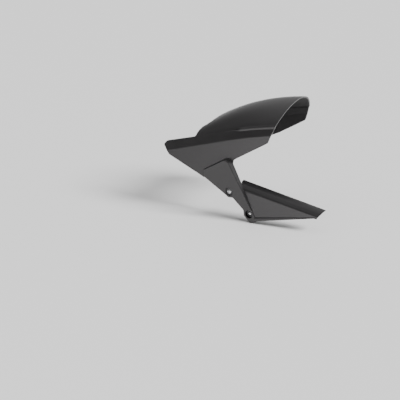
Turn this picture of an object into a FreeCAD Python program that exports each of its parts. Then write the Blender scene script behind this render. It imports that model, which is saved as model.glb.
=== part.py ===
import FreeCAD, Part
import math
import os

# Rear hugger of a motorbike: a moulded mudguard that hugs the rear tyre and carries the chain guard.
# It is laid out about the wheel axle: X to the rear, Y to the chain-free side, Z up, in millimetres.
# The finished pieces are then moved so that the origin lies midway between the two chain-side screws.

# Wall of the moulding
wall = 3.0

# Crease along each shoulder: straight at the front, easing level over the axle
crease_height = 300.0
crease_bend_drop = 22.0
crease_bend_run = 120.0
crease_slope = 0.25

# Flanks: two flat sides that lean outwards below the crease
flank_half_width = 89.3
flank_lean = 0.15

# Sloped band between the crease and the flank
band_drop_rear = 15.5
band_drop_front = 22.0
band_inset = 7.0
band_radius = 8.0

# Small step in the crease, which fades out forwards
step_rear = 4.5
step_front = 0.3
step_run = 110.0

# Crown over the tyre, above the crease; its sides spread inwards as far as it rises
crown_rise = 41.5
crown_radius = 453.5
crown_centre = 42.5
crown_blend = 14.0
crown_spread = 1.0

# Front edge of the crown, with a shallow bay in its middle
crown_front = 203.0
bay_depth = 14.0
bay_half_width = 70.0
bay_radius = 40.0

# Rear lip: raked cut through the whole shell, down to the tail corner
lip_top = 2.0
lip_rake = 0.395
tail_drop = 36.0
tail_radius = 5.0

# Cheek of the chain-side flank: runs on ahead of the crown, just below the crease, to a blunt nose
cheek_trim = 1.0
cheek_shave = 0.3
cheek_radius = 6.0
nose_reach = 280.0
nose_drop = 7.0
nose_top_setback = 7.0
nose_low_setback = 15.0
nose_low_drop = 20.0
nose_radius = 4.0

# Lower edge of the flanks, from the tail corner to the leg
edge_slope = 0.582
edge_radius = 10.0

# Screws: two on the chain side, and a plain hole for one in the ear on the other side
screw_upper_reach = 112.0
screw_upper_height = 150.5
screw_lower_reach = 63.0
screw_lower_height = 107.5
ear_hole_reach = 220.0
ear_hole_height = 193.0

# Ear of the chain-free flank, round its hole, and the neck where it leaves the crown's front edge
ear_drop = 16.0
ear_rear_width = 20.0
ear_front_width = 30.0
ear_radius = 14.0
ear_knee_reach = 95.0
ear_neck_drop = 20.0
ear_neck_radius = 20.0

# Leg on the chain side: a raised pan between the flank and the screws, set out from the screws
leg_face_lean = 0.14
leg_face_tilt = 0.03
ledge_rise = 12.0
ledge_radius = 11.0
leg_rear_margin = 13.0
leg_rear_slope = 0.571
leg_front_margin = 13.0
lug_reach = 6.0
scallop_margin = 4.0
scallop_radius = 5.0
leg_front_run = 64.0
leg_front_depth = 18.0
leg_foot_drop = 19.5
leg_heel_drop = 14.5
leg_corner_radius = 6.0
leg_edge_radius = 2.0

# Chain guard arm behind the leg: its face, the flared lip under it and the round over it,
# at the root and near the tip
arm_root_reach = 95.0
arm_root_low = 96.7
arm_root_face = 65.2
arm_root_lip = 10.9
arm_root_flare = 3.2
arm_root_round = 12.0
arm_tip_reach = 90.0
arm_tip_low = 123.2
arm_tip_face = 3.2
arm_tip_lip = 2.1
arm_tip_flare = 0.8
arm_tip_round = 5.5
arm_end_run = 22.0
bevel_rise = 11.0
bevel_inset = 12.0
flange_width = 12.0
flange_edge_radius = 20.0
end_cut_overhang = 5.0
end_cut_slope = 1.2

# Screw of each mounting, with a slim neck in its collar
thread_radius = 3.0
neck_depth = 0.4
screw_length = 14.0
head_radius = 5.25
head_rim = 0.6
head_dome = 2.7
socket_width = 4.0
socket_depth = 2.0

# Collar and grommet round the screw, and the pocket that holds them
bore_clearance = 0.2
collar_wall = 1.3
collar_flange = 1.2
collar_flange_width = 2.5
grommet_wall = 1.5
grommet_lip = 1.5
grommet_lip_width = 2.6
pocket_clearance = 0.4
leg_pocket_depth = 11.5
ear_pocket_depth = 4.3

# Radii that follow from the screw outwards
collar_bore = thread_radius + bore_clearance
collar_radius = collar_bore + collar_wall
hole_radius = collar_radius + grommet_wall
grommet_radius = hole_radius + grommet_lip_width
pocket_radius = grommet_radius + pocket_clearance

# Layout helpers: sections of the shell, how far cutters and bands run past what they trim,
# and how much further the crown's handles rise than the curve they pull
stations = 10
overrun = 14.0
band_overrun = 6.0
far = 500.0
handle_gain = 4 / 3


def vec(x, y, z):
    return FreeCAD.Vector(x, y, z)


# Flat outline with rounded corners, given as (a, b, radius) and placed by a function of (a, b)
def rounded_wire(corners, place):
    edges = []
    ends = []
    count = len(corners)
    for i in range(count):
        a, b, radius = corners[i]
        before = FreeCAD.Vector(corners[i - 1][0] - a, corners[i - 1][1] - b, 0)
        after = FreeCAD.Vector(corners[(i + 1) % count][0] - a, corners[(i + 1) % count][1] - b, 0)
        corner = FreeCAD.Vector(a, b, 0)
        if radius == 0:
            ends.append((corner, corner, corner))
            continue
        before.normalize()
        after.normalize()
        half = before.getAngle(after) / 2
        reach = radius / math.tan(half)
        middle = before + after
        middle.normalize()
        arc_mid = corner + middle * (radius / math.sin(half) - radius)
        ends.append((corner + before * reach, arc_mid, corner + after * reach))
    for i in range(count):
        start, mid, stop = [place(p.x, p.y) for p in ends[i]]
        following = ends[(i + 1) % count][0]
        if corners[i][2] > 0:
            edges.append(Part.Arc(start, mid, stop).toShape())
        edges.append(Part.makeLine(stop, place(following.x, following.y)))
    return Part.Wire(edges)


# Solid with an outline in the side view, from one Y to another
def side_prism(corners, y_from, y_to):
    wire = rounded_wire(corners, lambda x, z: vec(x, y_from, z))
    return Part.Face(wire).extrude(vec(0, y_to - y_from, 0))


# Moves each side of a polygon inwards by its own distance
def inset(corners, distances):
    count = len(corners)
    turn = 0
    for i in range(count):
        x0, z0, _ = corners[i]
        x1, z1, _ = corners[(i + 1) % count]
        turn += x0 * z1 - x1 * z0
    sign = 1 if turn > 0 else -1
    lines = []
    for i in range(count):
        x0, z0, _ = corners[i]
        x1, z1, _ = corners[(i + 1) % count]
        length = math.hypot(x1 - x0, z1 - z0)
        nx = -sign * (z1 - z0) / length
        nz = sign * (x1 - x0) / length
        lines.append((nx, nz, nx * x0 + nz * z0 + distances[i]))
    result = []
    for i in range(count):
        a0, b0, c0 = lines[i - 1]
        a1, b1, c1 = lines[i]
        det = a0 * b1 - a1 * b0
        result.append(((c0 * b1 - c1 * b0) / det, (a0 * c1 - a1 * c0) / det, corners[i][2]))
    return result


# Half width of the flanks at a height
def flank_y(z):
    return flank_half_width + flank_lean * (crease_height - z)


def crease_z(x):
    ahead = x + crease_bend_run
    height = crease_height - crease_bend_drop + crease_slope * ahead
    if ahead > 0:
        level = crease_slope * crease_bend_run - crease_bend_drop
        height -= level * (ahead / crease_bend_run) ** 2
    return height


def band_drop(x):
    return band_drop_rear + (band_drop_front - band_drop_rear) * max(0, -x) / nose_reach


# Top of the crown in the side view: an arc that blends into the creases in front of the tyre
def crown_z(x):
    level = crease_height + crown_rise - math.sqrt(crown_radius ** 2 - crown_centre ** 2)
    rise = level + math.sqrt(crown_radius ** 2 - (x - crown_centre) ** 2) - crease_z(x)
    return crease_z(x) + (rise + math.hypot(rise, crown_blend)) / 2


# Rear lip line in the side view
def lip_x(z):
    return lip_top - lip_rake * (crown_z(0) - z)


def band_tilt(x):
    return math.atan2(band_inset, band_drop(x))


# Half width at the crease, measured a depth inside the band's skin
def crease_half_width(x, depth):
    low = crease_z(x) - band_drop(x)
    return flank_y(low) - band_inset - depth * math.cos(band_tilt(x))


# Closed section of the shell's filled body at one X, its skin moved inwards by depth
def shell_section(x, depth, floor):
    fade = max(0, 1 + x / step_run)
    step = step_front + (step_rear - step_front) * min(1, fade)
    crease_y = crease_half_width(x, depth)
    foot_z = crease_z(x) - depth * math.sin(band_tilt(x))
    slope = (crown_z(x + 1) - crown_z(x - 1)) / 2
    top = crown_z(x) - depth * math.hypot(1, slope)
    crease_top = foot_z + step
    pull = (top - crease_top) * handle_gain
    handle = (crown_z(x) - crease_z(x)) * crown_spread
    out_y = crease_y + band_overrun * band_inset
    out_z = foot_z - band_overrun * band_drop(x)
    right = [(out_y, floor), (out_y, out_z), (crease_y, foot_z), (crease_y, crease_top)]
    edges = []
    for side in (-1, 1):
        run = right if side < 0 else right[::-1]
        for start, stop in zip(run, run[1:]):
            edges.append(Part.makeLine(vec(x, side * start[0], start[1]), vec(x, side * stop[0], stop[1])))
        if side < 0:
            crown = Part.BezierCurve()
            crown.setPoles([
                vec(x, -crease_y, crease_top),
                vec(x, handle - crease_y, crease_top + pull),
                vec(x, crease_y - handle, crease_top + pull),
                vec(x, crease_y, crease_top)])
            edges.append(crown.toShape())
    edges.append(Part.makeLine(vec(x, out_y, floor), vec(x, -out_y, floor)))
    return Part.Wire(edges)


# Everything between the two flanks, their planes moved inwards by depth
def between_flanks(depth):
    shift = depth * math.hypot(1, flank_lean)
    low = flank_y(0) - shift
    high = flank_y(far) - shift
    corners = [(-low, 0), (low, 0), (high, far), (-high, far)]
    points = [vec(-far, y, z) for y, z in corners]
    return Part.Face(Part.makePolygon(points + points[:1])).extrude(vec(2 * far, 0, 0))


# Long edges where the bands fold into the flanks, well above the floor
def band_folds(body, depth, floor):
    folds = []
    for edge in body.Edges:
        middle = edge.valueAt((edge.FirstParameter + edge.LastParameter) / 2)
        on_flank = abs(middle.y) > flank_y(middle.z) - depth - band_inset / 2
        if on_flank and edge.BoundBox.XLength > nose_reach and middle.z > floor + overrun:
            folds.append(edge)
    return folds


def filled_shell(depth, floor, ends):
    rear = lip_top + overrun + ends
    front = -nose_reach - overrun - ends
    sections = []
    for i in range(stations):
        sections.append(shell_section(rear + (front - rear) * i / (stations - 1), depth, floor))
    body = Part.makeLoft(sections, True).common(between_flanks(depth))
    return body.makeFillet(band_radius - depth, band_folds(body, depth, floor))


# Lower edge of the flanks in the side view
def edge_z(x):
    tail_height = crease_height - tail_drop
    return tail_height + edge_slope * (x - lip_x(tail_height))


# Rear line of the leg, a set distance behind the lower screw
def leg_rear_x(z):
    return leg_rear_margin - screw_lower_reach - leg_rear_slope * (z - screw_lower_height)


# Ledge on top of the leg, parallel to the flank's lower edge
def ledge_z(x):
    return edge_z(x) + ledge_rise


# Crossing of the leg's rear line with a line that has the flank edge's slope, given its height at X 0
def leg_rear_crossing(height):
    z = (height + edge_slope * leg_rear_x(0)) / (1 + edge_slope * leg_rear_slope)
    return leg_rear_x(z), z


def leg_foot_z():
    return screw_lower_height - leg_foot_drop


# The leg's face meets the flank's plane at the foot
def leg_face():
    return flank_y(leg_foot_z())


def leg_front_x():
    return -screw_upper_reach - leg_front_run


def leg_front_z():
    return ledge_z(leg_front_x()) - leg_front_depth


# Rounded corner beside the line of the two screws: so far along it from the upper one, so far in front
def beside_screws(along, out, radius):
    run = screw_upper_reach - screw_lower_reach
    fall = screw_upper_height - screw_lower_height
    pitch = math.hypot(run, fall)
    x = -screw_upper_reach + (along * run - out * fall) / pitch
    z = screw_upper_height - (along * fall + out * run) / pitch
    return x, z, radius


# Front edge of the leg, from the foot up to the upper screw: two lugs with a scallop between them
def leg_front_edge():
    run = screw_upper_reach - screw_lower_reach
    fall = screw_upper_height - screw_lower_height
    pitch = math.hypot(run, fall)
    foot = ((screw_upper_height - leg_foot_z()) * pitch - leg_front_margin * run) / fall
    slant = lug_reach + leg_front_margin - scallop_margin
    return [
        beside_screws(foot, leg_front_margin, leg_corner_radius),
        beside_screws(pitch - lug_reach, leg_front_margin, scallop_radius),
        beside_screws(pitch - slant, scallop_margin, scallop_radius),
        beside_screws(slant, scallop_margin, scallop_radius),
        beside_screws(lug_reach, leg_front_margin, scallop_radius),
        beside_screws(0, leg_front_margin, leg_corner_radius)]


def leg_corners():
    top_x, top_z = leg_rear_crossing(ledge_z(0))
    heel_z = screw_lower_height - leg_heel_drop
    return [
        (leg_front_x(), ledge_z(leg_front_x()), 0),
        (top_x, top_z, ledge_radius),
        (leg_rear_x(heel_z), heel_z, leg_corner_radius),
        *leg_front_edge(),
        (leg_front_x(), leg_front_z(), 0)]


# Block inboard of the leg's face, which leans inwards from the leg's rear line to the front and upwards
def behind_leg_face(depth):
    length = math.hypot(1, leg_rear_slope)
    climb = leg_face_tilt - leg_face_lean * leg_rear_slope / length
    shift = depth * math.hypot(1, leg_face_lean / length, climb)
    points = []
    for x, z in ((-far, 0), (far, 0), (far, far), (-far, far)):
        ahead = (leg_rear_x(z) - x) / length
        above = z - leg_foot_z()
        points.append(vec(x, -leg_face() + leg_face_lean * ahead + leg_face_tilt * above + shift, z))
    block = Part.makeBox(2 * far, 2 * far, far, vec(-far, -far, 0))
    half = Part.Face(Part.makePolygon(points + points[:1])).extrude(vec(0, 2 * far, 0))
    return block.common(half)


# Solid leg with its face's edges rounded
def leg_filled():
    leg = side_prism(leg_corners(), -far, 0).common(behind_leg_face(0))
    rim = [edge for edge in leg.Edges if edge.BoundBox.YMax < -overrun]
    return leg.makeFillet(leg_edge_radius, rim)


# Room inside the leg, open towards the bike's swingarm side
def leg_room():
    corners = leg_corners()
    open_sides = [-2 * wall] * (len(corners) - 3)
    inner = inset(corners, [wall, wall] + open_sides + [wall])
    return side_prism(inner, -far, 0).common(behind_leg_face(wall))


# Side view of a flank: the crown's front edge, the rear lip down to the tail corner, and the rest
def flank_outline(rest):
    high = crown_z(0) + overrun
    tail_height = crease_height - tail_drop
    return [
        (-crown_front, high, 0), (lip_x(high), high, 0),
        (lip_x(tail_height), tail_height, tail_radius)] + rest


# Top edge of the cheek
def cheek_z(x):
    return crease_z(x) - cheek_trim


def left_outline():
    notch_x, notch_z = leg_rear_crossing(edge_z(0))
    under_z = notch_z - 2 * edge_radius
    nose_z = crease_z(-nose_reach) - nose_drop
    nose_top_x = nose_top_setback - nose_reach
    return flank_outline([
        (notch_x, notch_z, edge_radius),
        (leg_rear_x(under_z), under_z, 0),
        (leg_front_x() + 2 * wall, leg_front_z() + wall, 0),
        (leg_front_x(), leg_front_z(), 0),
        (nose_low_setback - nose_reach, nose_z - nose_low_drop, nose_radius),
        (-nose_reach, nose_z, nose_radius),
        (nose_top_x, cheek_z(nose_top_x), nose_radius),
        (-crown_front, cheek_z(-crown_front), cheek_radius)])


def right_outline():
    ear_z = ear_hole_height - ear_drop
    return flank_outline([
        (-ear_knee_reach, edge_z(-ear_knee_reach), edge_radius),
        (ear_rear_width - ear_hole_reach, ear_z, ear_radius),
        (-ear_front_width - ear_hole_reach, ear_z, ear_radius),
        (-crown_front, crease_z(-crown_front) - ear_neck_drop, ear_neck_radius)])


# Seen from above: the gap ahead of the crown's front edge, and the bay in that edge
def front_gaps():
    near = crease_half_width(-crown_front, wall - cheek_shave)
    ahead = crease_half_width(-far, wall - cheek_shave)
    bay_x = bay_depth - crown_front
    return [
        [(-crown_front, -near, 0), (-crown_front, near, 0), (-far, ahead, 0), (-far, -ahead, 0)],
        [(bay_x, -bay_half_width, bay_radius), (bay_x, bay_half_width, bay_radius),
         (-far, bay_half_width, 0), (-far, -bay_half_width, 0)]]


# Mudguard shell with both flanks, trimmed to its outlines
def make_shell():
    low = leg_foot_z()
    shell = filled_shell(0, low, 0).cut(filled_shell(wall, low - overrun, overrun))
    block = [(-far, 0, 0), (far, 0, 0), (far, far, 0), (-far, far, 0)]
    waste = []
    for outline, side in ((left_outline(), -1), (right_outline(), 1)):
        keep = side_prism(outline, 0, side * far)
        waste.append(side_prism(block, 0, side * far).cut(keep))
    for outline in front_gaps():
        gap = Part.Face(rounded_wire(outline, lambda x, y: vec(x, y, 0)))
        waste.append(gap.extrude(vec(0, 0, far)))
    return shell.cut(waste)


# Section of the chain guard arm: flared lip, face in the flank's plane, rounded bevel and top flange
def arm_section(x, low, face, lip, flare, round_radius):
    top = low + face
    face_top = -flank_y(top)
    face_low = -flank_y(low)
    outer = [
        (face_low - flare, low - lip, 0),
        (face_low - flare, low - flare, 0),
        (face_low, low, 0),
        (face_top, top, round_radius),
        (face_top + bevel_inset, top + bevel_rise, flange_edge_radius),
        (face_top + bevel_inset + flange_width, top + bevel_rise, 0)]
    closing = [(outer[5][0], low - lip, 0)]
    inner = inset(outer + closing, [wall] * 5 + [0, 0])[:6]
    inner[3] = (inner[3][0], inner[3][1], round_radius - wall)
    inner[4] = (inner[4][0], inner[4][1], flange_edge_radius - wall)
    corners = outer + inner[::-1]
    return rounded_wire(corners, lambda y, z: vec(x, y, z))


# Remakes a ruled solid with true planes where its four-sided faces are flat
def with_planes(solid):
    faces = []
    for face in solid.Faces:
        points = [vertex.Point for vertex in face.OuterWire.OrderedVertexes]
        if len(points) == 4 and face.findPlane():
            face = Part.Face(Part.makePolygon(points + points[:1]))
        faces.append(face)
    shell = Part.makeShell(faces)
    shell.sewShape()
    return Part.makeSolid(shell)


# Arm: tapers from the root to the tip, runs on along its top line and ends in a slanted cut
def make_arm():
    fall = (arm_tip_low + arm_tip_face - arm_root_low - arm_root_face) / (arm_tip_reach + arm_root_reach)
    end_low = arm_tip_low + fall * arm_end_run
    arm = Part.makeLoft([
        arm_section(
            -arm_root_reach, arm_root_low, arm_root_face,
            arm_root_lip, arm_root_flare, arm_root_round),
        arm_section(
            arm_tip_reach, arm_tip_low, arm_tip_face,
            arm_tip_lip, arm_tip_flare, arm_tip_round),
        arm_section(
            arm_tip_reach + arm_end_run, end_low, arm_tip_face,
            arm_tip_lip, arm_tip_flare, arm_tip_round)],
        True, True)
    inside = wall * math.hypot(1, leg_rear_slope)
    front = [
        (leg_rear_x(0) - inside, 0, 0), (leg_rear_x(far) - inside, far, 0),
        (-far, far, 0), (-far, 0, 0)]
    cut_x = arm_tip_reach + end_cut_overhang
    cut_z = arm_tip_low - arm_tip_lip
    beyond = [
        (cut_x, cut_z, 0), (cut_x + far, cut_z + end_cut_slope * far, 0),
        (cut_x + far, -far, 0), (cut_x, -far, 0)]
    return with_planes(arm).cut([side_prism(front, -far, far), side_prism(beyond, -far, far)])


# Places of the screws on the floors of their pockets
def screw_places():
    floor = leg_pocket_depth - leg_face()
    return [
        vec(-screw_upper_reach, floor, screw_upper_height),
        vec(-screw_lower_reach, floor, screw_lower_height)]


def ear_hole_place():
    return vec(-ear_hole_reach, flank_y(ear_hole_height) - ear_pocket_depth, ear_hole_height)


# Round bar along the screw's axis, between two distances outwards from the pocket floor
def bar(place, outward, radius, start, stop):
    foot = place + vec(0, outward * start, 0)
    return Part.makeCylinder(radius, stop - start, foot, vec(0, outward, 0))


# Adds a cup with a flat floor to the body and drills a hole through its floor
def add_pocket(body, within, place, outward, hole):
    cup = bar(place, outward, pocket_radius + wall, -wall, overrun).common(within)
    room = bar(place, outward, pocket_radius, 0, far)
    return body.fuse(cup).cut([room, bar(place, outward, hole, -overrun, overrun)])


def make_moulding():
    room = leg_room()
    filled = leg_filled()
    pan = filled.cut(between_flanks(wall)).cut(room)
    body = make_shell().cut(room).fuse([pan, make_arm()])
    for place in screw_places():
        body = add_pocket(body, filled, place, -1, hole_radius)
    body = add_pocket(body, between_flanks(0), ear_hole_place(), 1, collar_bore)
    return body.removeSplitter()


# Turned piece: closed profile of (radius, distance outwards), spun about the screw's axis
def turned(place, profile):
    points = [place + vec(r, -s, 0) for r, s in profile]
    face = Part.Face(Part.makePolygon(points + points[:1]))
    return face.revolve(place, vec(0, 1, 0), 360)


def make_grommet(place):
    under = -wall - grommet_lip
    return turned(place, [
        (collar_radius, under), (grommet_radius, under), (grommet_radius, -wall),
        (hole_radius, -wall), (hole_radius, 0), (grommet_radius, 0),
        (grommet_radius, grommet_lip), (collar_radius, grommet_lip)])


def make_collar(place):
    under = -wall - grommet_lip
    top = grommet_lip + collar_flange
    rim = collar_radius + collar_flange_width
    return turned(place, [
        (collar_bore, under), (collar_radius, under), (collar_radius, grommet_lip),
        (rim, grommet_lip), (rim, top), (collar_bore, top)])


def make_screw(place):
    seat = grommet_lip + collar_flange
    rim = seat + head_rim
    top = rim + head_dome
    tip = seat - screw_length
    neck_end = -wall - grommet_lip
    neck_radius = thread_radius - neck_depth
    shank = turned(place, [
        (0, tip), (thread_radius, tip), (thread_radius, neck_end), (neck_radius, neck_end),
        (neck_radius, seat), (head_radius, seat), (head_radius, rim), (0, rim)])
    ball = (head_radius ** 2 + head_dome ** 2) / (2 * head_dome)
    centre = place + vec(0, ball - top, 0)
    above = bar(place, -1, head_radius, rim, top + head_dome)
    dome = Part.makeSphere(ball, centre).common(above)
    corners = []
    for i in range(6):
        angle = math.radians(60 * i)
        size = socket_width / math.sqrt(3)
        corners.append((place.x + size * math.cos(angle), place.z + size * math.sin(angle), 0))
    floor = place.y - top + socket_depth
    socket = side_prism(corners, floor, floor - overrun)
    return shank.fuse(dome).cut(socket)


# Midpoint of the two chain-side screws, where their collars meet the swingarm
def origin():
    upper, lower = screw_places()
    return (upper + lower) * 0.5 + vec(0, wall + grommet_lip, 0)


def main():
    os.makedirs("parts", exist_ok=True)
    places = screw_places()
    pieces = {
        "hugger_moulding": make_moulding(),
        "rubber_grommets": Part.makeCompound([make_grommet(place) for place in places]),
        "spacer_collars": Part.makeCompound([make_collar(place) for place in places]),
        "mounting_screws": Part.makeCompound([make_screw(place) for place in places])}
    for name, shape in pieces.items():
        shape.translate(origin() * -1)
        shape.exportStep("parts/" + name + ".step")


main()
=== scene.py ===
import math

import bmesh
import bpy
from mathutils import Matrix, Vector


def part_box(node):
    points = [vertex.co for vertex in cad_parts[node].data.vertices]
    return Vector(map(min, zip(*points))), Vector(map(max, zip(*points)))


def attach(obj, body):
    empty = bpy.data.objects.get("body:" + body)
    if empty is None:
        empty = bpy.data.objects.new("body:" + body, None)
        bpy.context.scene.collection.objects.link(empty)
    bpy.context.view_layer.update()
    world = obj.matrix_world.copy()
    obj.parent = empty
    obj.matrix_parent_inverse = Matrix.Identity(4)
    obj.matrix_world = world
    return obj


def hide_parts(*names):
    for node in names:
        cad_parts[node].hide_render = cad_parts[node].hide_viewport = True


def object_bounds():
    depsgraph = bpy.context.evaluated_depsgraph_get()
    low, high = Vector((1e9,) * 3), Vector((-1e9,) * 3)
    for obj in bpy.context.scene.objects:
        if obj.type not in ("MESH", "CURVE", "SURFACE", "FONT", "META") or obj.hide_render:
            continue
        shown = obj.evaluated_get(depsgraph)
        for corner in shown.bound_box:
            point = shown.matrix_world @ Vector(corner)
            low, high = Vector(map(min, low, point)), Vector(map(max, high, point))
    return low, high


# Packed model of the rear hugger, and its box before anything is added
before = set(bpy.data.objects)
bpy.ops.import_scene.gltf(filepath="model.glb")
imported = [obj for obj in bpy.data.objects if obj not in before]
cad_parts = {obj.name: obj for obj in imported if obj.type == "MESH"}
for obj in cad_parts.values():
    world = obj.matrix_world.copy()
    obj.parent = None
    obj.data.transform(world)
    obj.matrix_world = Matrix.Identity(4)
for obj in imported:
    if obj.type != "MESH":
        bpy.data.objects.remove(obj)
cad_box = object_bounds()

# Photograph: frame size in pixels, and where the camera's pivot lies in it
FRAME_PX = 400
PIVOT_PX = (299.18, 247.82)

# Camera round its pivot: angles in degrees, distance in metres, focal length in pixels
AZIMUTH = 25.41
ELEVATION = 21.19
DISTANCE = 3.787
FOCAL_PX = 1717.1
SENSOR_MM = 36.0

# Pivot, in metres: midway across the shell, 0.3 m under the rear end of its creases
PIVOT = Vector((0.0875, 0.1051, -0.1290))

# Floor: size in metres, and its two pale tones
FLOOR_SIZE = 30.0
FLOOR_TONES = ((0.0, (0.80, 0.80, 0.80)), (1.0, (0.84, 0.84, 0.84)))
FLOOR_MOTTLE = 3.0
FLOOR_ROUGHNESS = 0.6

# Key light: strength, angle across in degrees, and direction
KEY_STRENGTH = 6.2
KEY_ANGLE = 25.0
KEY_DIRECTION = (-0.8, 0.0, -0.6)

# Low light box: length, height and place in metres, power in watts, and direction
BOX_LENGTH = 1.6
BOX_HEIGHT = 0.5
BOX_PLACE = (-0.3, -2.7, 0.1)
BOX_POWER = 14.0
BOX_DIRECTION = (0.2, 0.98, 0.0)

# Brightness of the surroundings from the chain side, position 0, to the far side, position 1
BACKDROP = ((0.0, 0.15), (0.325, 0.34), (0.42, 0.70), (0.62, 0.72), (0.8, 0.66))
BACKDROP_END = 0.5

# Ahead of the part the surroundings darken to a share, between two X components of a direction
AHEAD_X = (-0.75, -0.60)
AHEAD_SHARE = 0.10

# Plastic: mottled tones, roughness outside and on the inner side, grain, and softened edges in metres
PLASTIC_TONES = ((0.30, (0.011, 0.0107, 0.011)), (0.75, (0.015, 0.0146, 0.015)))
PLASTIC_MOTTLE = 14.0
PLASTIC_MOTTLE_DETAIL = 6.0
PLASTIC_ROUGHNESS = (0.30, 0.38)
PLASTIC_DULL = 0.95
PLASTIC_IOR = 1.65
PLASTIC_GLOSS_TINT = (1.0, 0.97, 0.985, 1)
GRAIN_SCALE = 1400.0
GRAIN_STRENGTH = 0.12
GRAIN_DEPTH = 0.0002
EDGE_RADIUS = 0.0008
EDGE_SAMPLES = 6

# How much each axis counts when a face is judged to look inwards, and between which values it starts to
INWARD_WEIGHTS = Vector((0.3, 3.0, 1.0))
INWARD_LIMITS = (0.45, 0.6)

# Metals: colour and mean roughness, and how far and how finely the roughness varies
COLLAR_STEEL = ((0.10, 0.10, 0.103), 0.35)
SCREW_STEEL = ((0.80, 0.80, 0.81), 0.16)
METAL_SPREAD = 0.06
METAL_GRAIN = 400.0

# Rubber of the grommets
RUBBER_COLOUR = (0.03, 0.03, 0.031, 1)
RUBBER_ROUGHNESS = 0.7
RUBBER_GRAIN = 900.0
RUBBER_STRENGTH = 0.2
RUBBER_DEPTH = 0.0001

# Screws: sizes in metres, shares of the socket's radius, the thread's profile, and their meshes' fineness
HEAD_RADIUS = 0.00525
HEAD_RIM = 0.0006
HEAD_DOME = 0.0027
RIM_CHAMFER = 0.0001
SOCKET_WIDTH = 0.004
SOCKET_DEPTH = 0.002
SOCKET_CONE = 0.0003
CONE_SHARE = 0.3
LEAD_IN_SHARE = 1.06
LEAD_IN_DEPTH = 0.0002
SCREW_LENGTH = 0.014
NECK_RADIUS = 0.0026
NECK_TAPER = 0.0002
THREAD_RADIUS = 0.003
THREAD_ROOT = 0.0024
THREAD_PITCH = 0.001
THREAD_PROFILE = (0.0, 0.0, 0.5, 1.0, 1.0, 0.5)
SIDES = 48
DOME_RINGS = 8
WELD_DISTANCE = 1e-6
SCREW_SHARP = 30.0

# Foot of the step along the chain side's crease, in metres: at the front, in the middle and at the rear lip
CREASE = (
    Vector((-0.0220, 0.01718, 0.15156)),
    Vector((0.0275, 0.01892, 0.16200)),
    Vector((0.07184, 0.02013, 0.16905)))

# At the front and at the rear: height of the step, and how steeply the crown rises from it
STEP_HEIGHTS = (0.0003, 0.0039)
CROWN_SLOPES = (1.32, 1.21)

# How fast the crown's rise flattens, per metre, and how far back the rear lip runs per metre above the crease
CROWN_BEND = 25.0
LIP_RUN = 0.418

# Bead that deepens the step, in metres from the crease: how far its face stands out, and reaches up and down,
# its top's height over the crown's line, its rounding, the length of its fade, and how it is let into the skin
BEAD_OUT = 0.00115
BEAD_UP = 0.0027
BEAD_DOWN = 0.0034
BEAD_LIFT = 0.0014
BEAD_ROUND = 0.0002
BEAD_FADE = 0.012
BEAD_REACH = 0.003
BEAD_BURIED = 0.001
BEAD_SINK = 0.0002

# Stretches along the bead, and the angle in degrees from which its edges are sharp
BEAD_STATIONS = 32
BEAD_SHARP = 50.0


# Axes of a camera that looks straight at the pivot: right, up and back
def pivot_axes():
    turn = math.radians(AZIMUTH)
    tilt = math.radians(ELEVATION)
    level = math.cos(tilt)
    back = Vector((math.sin(turn) * level, -math.cos(turn) * level, math.sin(tilt)))
    right = Vector((math.cos(turn), math.sin(turn), 0.0))
    return right, back.cross(right), back


# Camera at the photograph's place, turned so that the pivot falls on its pixel
def add_camera():
    right, up, back = pivot_axes()
    across = (FRAME_PX / 2 - PIVOT_PX[0]) / FOCAL_PX
    down = (FRAME_PX / 2 - PIVOT_PX[1]) / FOCAL_PX
    axis_back = (back - right * across + up * down).normalized()
    axis_right = up.cross(axis_back).normalized()
    axis_up = axis_back.cross(axis_right)
    data = bpy.data.cameras.new("camera")
    data.sensor_width = SENSOR_MM
    data.lens = FOCAL_PX / FRAME_PX * SENSOR_MM
    camera = bpy.data.objects.new("camera", data)
    bpy.context.scene.collection.objects.link(camera)
    turn = Matrix((axis_right, axis_up, axis_back)).transposed()
    camera.matrix_world = Matrix.Translation(PIVOT + back * DISTANCE) @ turn.to_4x4()
    bpy.context.scene.camera = camera


# Material with a principled shader; returns the material, its nodes, the shader and the linking function
def new_material(name):
    material = bpy.data.materials.new(name)
    material.use_nodes = True
    nodes = material.node_tree.nodes
    return material, nodes, nodes["Principled BSDF"], material.node_tree.links.new


# Maps one range of values onto another
def mapped(nodes, link, value, source, target):
    node = nodes.new("ShaderNodeMapRange")
    node.inputs["From Min"].default_value = source[0]
    node.inputs["From Max"].default_value = source[1]
    node.inputs["To Min"].default_value = target[0]
    node.inputs["To Max"].default_value = target[1]
    link(value, node.inputs["Value"])
    return node.outputs["Result"]


# Turns a value into a colour between two stops of (position, colour)
def toned(nodes, link, value, stops):
    node = nodes.new("ShaderNodeValToRGB")
    for element, (position, colour) in zip(node.color_ramp.elements, stops):
        element.position = position
        element.color = (*colour, 1)
    link(value, node.inputs["Fac"])
    return node.outputs["Color"]


# Texture of a kind and scale that is fixed to the piece
def piece_texture(nodes, link, kind, scale):
    place = nodes.new("ShaderNodeTexCoord")
    texture = nodes.new(kind)
    texture.inputs["Scale"].default_value = scale
    link(place.outputs["Object"], texture.inputs["Vector"])
    return texture


# Relief of a height on the shader's surface, with its depth in metres
def add_bump(nodes, link, shader, height, strength, depth):
    bump = nodes.new("ShaderNodeBump")
    bump.inputs["Strength"].default_value = strength
    bump.inputs["Distance"].default_value = depth
    link(height, bump.inputs["Height"])
    link(bump.outputs["Normal"], shader.inputs["Normal"])
    return bump


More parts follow.
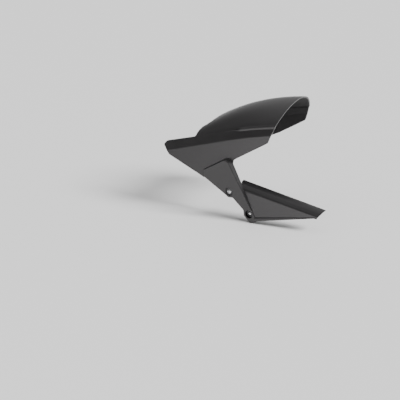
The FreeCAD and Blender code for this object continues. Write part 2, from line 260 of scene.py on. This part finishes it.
def floor_material():
    material, nodes, shader, link = new_material("pale_floor")
    noise = nodes.new("ShaderNodeTexNoise")
    noise.inputs["Scale"].default_value = FLOOR_MOTTLE
    link(toned(nodes, link, noise.outputs["Fac"], FLOOR_TONES), shader.inputs["Base Color"])
    shader.inputs["Roughness"].default_value = FLOOR_ROUGHNESS
    return material


# Floor at the height of the part's lowest point
def add_floor():
    bpy.ops.mesh.primitive_plane_add(size=FLOOR_SIZE, location=(0, 0, cad_box[0][2]))
    floor = bpy.context.object
    floor.name = "floor"
    floor.data.materials.append(floor_material())


def add_lamp(data, direction, place=(0, 0, 0)):
    lamp = bpy.data.objects.new(data.name, data)
    bpy.context.scene.collection.objects.link(lamp)
    lamp.location = place
    lamp.rotation_euler = Vector(direction).to_track_quat("-Z", "Y").to_euler()
    lamp.visible_camera = False
    return lamp


# Broad soft key from the rear, which lights the floor that the flat faces mirror
def add_key():
    data = bpy.data.lights.new("key", "SUN")
    data.energy = KEY_STRENGTH
    data.angle = math.radians(KEY_ANGLE)
    add_lamp(data, KEY_DIRECTION).visible_glossy = False


# Long low box beside the chain side, mirrored by the panel and the chain guard
def add_low_box():
    data = bpy.data.lights.new("low_box", "AREA")
    data.shape = "RECTANGLE"
    data.size = BOX_LENGTH
    data.size_y = BOX_HEIGHT
    data.energy = BOX_POWER
    add_lamp(data, BOX_DIRECTION, BOX_PLACE)


# Surroundings: a pale backdrop on the far side, darker towards the chain side and straight ahead
def add_surroundings():
    world = bpy.data.worlds.new("studio")
    bpy.context.scene.world = world
    world.use_nodes = True
    nodes = world.node_tree.nodes
    link = world.node_tree.links.new
    place = nodes.new("ShaderNodeTexCoord")
    split = nodes.new("ShaderNodeSeparateXYZ")
    link(place.outputs["Generated"], split.inputs["Vector"])
    backdrop = nodes.new("ShaderNodeValToRGB")
    stops = backdrop.color_ramp.elements
    stops.remove(stops[0])
    stops[0].color = (BACKDROP_END, BACKDROP_END, BACKDROP_END, 1)
    for position, level in BACKDROP:
        stops.new(position).color = (level, level, level, 1)
    link(mapped(nodes, link, split.outputs["Y"], (-1, 1), (0, 1)), backdrop.inputs["Fac"])
    glow = nodes.new("ShaderNodeMath")
    glow.operation = "MULTIPLY"
    link(backdrop.outputs["Color"], glow.inputs[0])
    link(mapped(nodes, link, split.outputs["X"], AHEAD_X, (AHEAD_SHARE, 1)), glow.inputs[1])
    nodes["Background"].inputs["Color"].default_value = (1, 1, 1, 1)
    link(glow.outputs["Value"], nodes["Background"].inputs["Strength"])


# How far each point of a surface looks inwards, towards the pivot, from -1 to 1
def facing_inwards(nodes, link):
    place = nodes.new("ShaderNodeTexCoord")
    ray = nodes.new("ShaderNodeVectorMath")
    ray.operation = "MULTIPLY_ADD"
    ray.inputs[1].default_value = -INWARD_WEIGHTS
    ray.inputs[2].default_value = PIVOT * INWARD_WEIGHTS
    link(place.outputs["Object"], ray.inputs[0])
    unit = nodes.new("ShaderNodeVectorMath")
    unit.operation = "NORMALIZE"
    link(ray.outputs["Vector"], unit.inputs[0])
    facing = nodes.new("ShaderNodeVectorMath")
    facing.operation = "DOT_PRODUCT"
    link(unit.outputs["Vector"], facing.inputs[0])
    link(place.outputs["Normal"], facing.inputs[1])
    return facing.outputs["Value"]


# Charcoal plastic: fine grain and faint mottling, semi-matt outside and left dull on the inner side
def plastic_material():
    material, nodes, shader, link = new_material("moulded_plastic")
    mottle = piece_texture(nodes, link, "ShaderNodeTexNoise", PLASTIC_MOTTLE)
    mottle.inputs["Detail"].default_value = PLASTIC_MOTTLE_DETAIL
    link(toned(nodes, link, mottle.outputs["Fac"], PLASTIC_TONES), shader.inputs["Base Color"])
    rough = nodes.new("ShaderNodeMix")
    rough.inputs["B"].default_value = PLASTIC_DULL
    link(mapped(nodes, link, facing_inwards(nodes, link), INWARD_LIMITS, (0, 1)), rough.inputs["Factor"])
    link(mapped(nodes, link, mottle.outputs["Fac"], (0, 1), PLASTIC_ROUGHNESS), rough.inputs["A"])
    link(rough.outputs["Result"], shader.inputs["Roughness"])
    edge = nodes.new("ShaderNodeBevel")
    edge.samples = EDGE_SAMPLES
    edge.inputs["Radius"].default_value = EDGE_RADIUS
    grain = piece_texture(nodes, link, "ShaderNodeTexVoronoi", GRAIN_SCALE)
    bump = add_bump(nodes, link, shader, grain.outputs["Distance"], GRAIN_STRENGTH, GRAIN_DEPTH)
    link(edge.outputs["Normal"], bump.inputs["Normal"])
    shader.inputs["IOR"].default_value = PLASTIC_IOR
    shader.inputs["Specular Tint"].default_value = PLASTIC_GLOSS_TINT
    return material


def metal_material(name, colour, roughness):
    material, nodes, shader, link = new_material(name)
    noise = piece_texture(nodes, link, "ShaderNodeTexNoise", METAL_GRAIN)
    limits = (roughness - METAL_SPREAD, roughness + METAL_SPREAD)
    link(mapped(nodes, link, noise.outputs["Fac"], (0, 1), limits), shader.inputs["Roughness"])
    shader.inputs["Base Color"].default_value = (*colour, 1)
    shader.inputs["Metallic"].default_value = 1.0
    return material


def rubber_material():
    material, nodes, shader, link = new_material("grommet_rubber")
    noise = piece_texture(nodes, link, "ShaderNodeTexNoise", RUBBER_GRAIN)
    add_bump(nodes, link, shader, noise.outputs["Fac"], RUBBER_STRENGTH, RUBBER_DEPTH)
    shader.inputs["Base Color"].default_value = RUBBER_COLOUR
    shader.inputs["Roughness"].default_value = RUBBER_ROUGHNESS
    return material


# Gives a mesh its material and smooth shading, with edges sharp from an angle in degrees, and places it
def new_piece(name, mesh, material, sharp):
    mesh.materials.append(material)
    mesh.shade_smooth()
    mesh.set_sharp_from_angle(angle=math.radians(sharp))
    piece = bpy.data.objects.new(name, mesh)
    bpy.context.scene.collection.objects.link(piece)
    return piece


# Radius of the hexagon socket at an angle round the screw's axis, with a corner at angle 0
def socket_radius(angle):
    return SOCKET_WIDTH / 2 / math.cos(angle % (math.pi / 3) - math.pi / 6)


# Height of the head's dome above the screw's seat, at a radius
def dome_height(radius):
    ball = (HEAD_RADIUS ** 2 + HEAD_DOME ** 2) / (2 * HEAD_DOME)
    return HEAD_RIM + HEAD_DOME - ball + math.sqrt(ball ** 2 - radius ** 2)


# Rings of (radius, height) at one angle, from the socket's floor over the head to the neck
def head_rings(angle):
    hexagon = socket_radius(angle)
    lead_in = SOCKET_WIDTH / math.sqrt(3) * LEAD_IN_SHARE
    floor = HEAD_RIM + HEAD_DOME - SOCKET_DEPTH
    rings = [
        (hexagon * CONE_SHARE, floor),
        (hexagon, floor),
        (hexagon, dome_height(lead_in) - LEAD_IN_DEPTH)]
    for i in range(DOME_RINGS + 1):
        radius = lead_in + (HEAD_RADIUS - lead_in) * i / DOME_RINGS
        rings.append((radius, dome_height(radius)))
    rings += [(HEAD_RADIUS, RIM_CHAMFER), (HEAD_RADIUS - RIM_CHAMFER, 0.0), (NECK_RADIUS, 0.0)]
    return rings


# Points down the thread at one angle: a helix of crests and roots, run out at both ends
def thread_rings(turn, start, stop):
    steps = len(THREAD_PROFILE)
    count = steps * (math.ceil((stop - start) / THREAD_PITCH) + 1)
    rings = []
    for i in range(count):
        along = (i / steps - turn) * THREAD_PITCH
        depth = THREAD_PROFILE[i % steps] * (THREAD_RADIUS - THREAD_ROOT)
        along = min(max(along, 0.0), stop - start)
        room = min(along, stop - start - along)
        rings.append((THREAD_ROOT + min(depth, room), -start - along))
    return rings


# Rows of points round one screw about its seat: head outwards along -Y, thread inwards
def screw_points(place, thread_start):
    points = []
    for side in range(SIDES + 1):
        turn = side / SIDES
        angle = 2 * math.pi * turn
        rings = head_rings(angle) + [(NECK_RADIUS, NECK_TAPER - thread_start)]
        rings += thread_rings(turn, thread_start, SCREW_LENGTH)
        row = []
        for radius, height in rings:
            row.append(place + Vector((radius * math.cos(angle), -height, radius * math.sin(angle))))
        points.append(row)
    return points


# Adds one screw to the vertices and faces, closed at the socket's floor and at the tip
def add_screw(vertices, faces, place, thread_start):
    rows = screw_points(place, thread_start)
    count = len(rows[0])
    first = len(vertices)
    for row in rows:
        vertices += row
    for side in range(SIDES):
        for i in range(count - 1):
            corner = first + side * count + i
            faces.append((corner, corner + 1, corner + count + 1, corner + count))
    cone = SOCKET_DEPTH - HEAD_RIM - HEAD_DOME + SOCKET_CONE
    for i, depth in ((0, cone), (count - 1, SCREW_LENGTH)):
        vertices.append(place + Vector((0, depth, 0)))
        for side in range(SIDES):
            corner = first + side * count + i
            ends = (corner, corner + count) if i == 0 else (corner + count, corner)
            faces.append((*ends, len(vertices) - 1))


# Both mounting screws with sockets and threads, in place of the plain ones
def add_screws(material):
    low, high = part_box("mounting_screws")
    seat = high[1] - SCREW_LENGTH
    upper = Vector((low[0] + HEAD_RADIUS, seat, high[2] - HEAD_RADIUS))
    lower = Vector((high[0] - HEAD_RADIUS, seat, low[2] + HEAD_RADIUS))
    vertices = []
    faces = []
    for place in (upper, lower):
        add_screw(vertices, faces, place, -seat)
    mesh = bpy.data.meshes.new("threaded_screws")
    mesh.from_pydata(vertices, [], faces)
    body = bmesh.new()
    body.from_mesh(mesh)
    bmesh.ops.remove_doubles(body, verts=body.verts, dist=WELD_DISTANCE)
    bmesh.ops.recalc_face_normals(body, faces=body.faces)
    body.to_mesh(mesh)
    body.free()
    screws = new_piece("threaded_screws", mesh, material, SCREW_SHARP)
    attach(screws, "root")
    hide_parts("mounting_screws")


# Place on the chain side's crease at one X: a parabola through its three places
def on_crease(x):
    place = Vector()
    for point in CREASE:
        weight = 1.0
        for other in CREASE:
            if other is not point:
                weight *= (x - other.x) / (point.x - other.x)
        place += point * weight
    return place


# Section of the bead as distances outwards and upwards from the crease, for a size from 0 to 1
def bead_section(size, step, slope):
    out = BEAD_OUT * size - BEAD_SINK * (1 - size)
    top = step + max(BEAD_UP - step, BEAD_LIFT - slope * BEAD_OUT) * size
    down = -BEAD_DOWN * size
    inner = step + slope * BEAD_REACH - CROWN_BEND * BEAD_REACH ** 2 - BEAD_SINK
    return [
        (-BEAD_REACH, inner),
        (out - BEAD_ROUND, top + BEAD_ROUND / 2),
        (out, top - BEAD_ROUND),
        (out, down),
        (out - BEAD_BURIED, down - BEAD_BURIED / 2),
        (-BEAD_REACH, inner - BEAD_BURIED)]


# Value at a share of the way between two ends
def between(ends, share):
    return ends[0] + (ends[1] - ends[0]) * share


# Points of the bead's section at a share of the way to the rear: side is 1 on the chain side, or -1 mirrored
def bead_row(share, side):
    x = between((CREASE[0].x, CREASE[2].x), share)
    size = min(1.0, (x - CREASE[0].x) / BEAD_FADE)
    row = []
    for out, up in bead_section(size, between(STEP_HEIGHTS, share), between(CROWN_SLOPES, share)):
        place = on_crease(x + LIP_RUN * up * share) + Vector((0, -out, up))
        place.y = PIVOT.y + (place.y - PIVOT.y) * side
        row.append(place)
    return row


# Bead along both creases: it ends in the rear lip's slanted plane and fades out at the front
def add_beads(material):
    body = bmesh.new()
    for side in (1, -1):
        rows = []
        for i in range(BEAD_STATIONS + 1):
            rows.append([body.verts.new(place) for place in bead_row(i / BEAD_STATIONS, side)])
        for row, following in zip(rows, rows[1:]):
            for i in range(len(row)):
                body.faces.new((row[i - 1], row[i], following[i], following[i - 1]))
        body.faces.new(rows[0])
        body.faces.new(rows[-1])
    bmesh.ops.recalc_face_normals(body, faces=body.faces)
    mesh = bpy.data.meshes.new("crease_beads")
    body.to_mesh(mesh)
    body.free()
    beads = new_piece("crease_beads", mesh, material, BEAD_SHARP)
    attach(beads, "root")


def paint(node, material):
    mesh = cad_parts[node].data
    mesh.materials.clear()
    mesh.materials.append(material)


add_camera()
add_floor()
add_key()
add_low_box()
add_surroundings()
plastic = plastic_material()
paint("hugger_moulding", plastic)
add_beads(plastic)
paint("rubber_grommets", rubber_material())
paint("spacer_collars", metal_material("collar_steel", *COLLAR_STEEL))
add_screws(metal_material("screw_steel", *SCREW_STEEL))
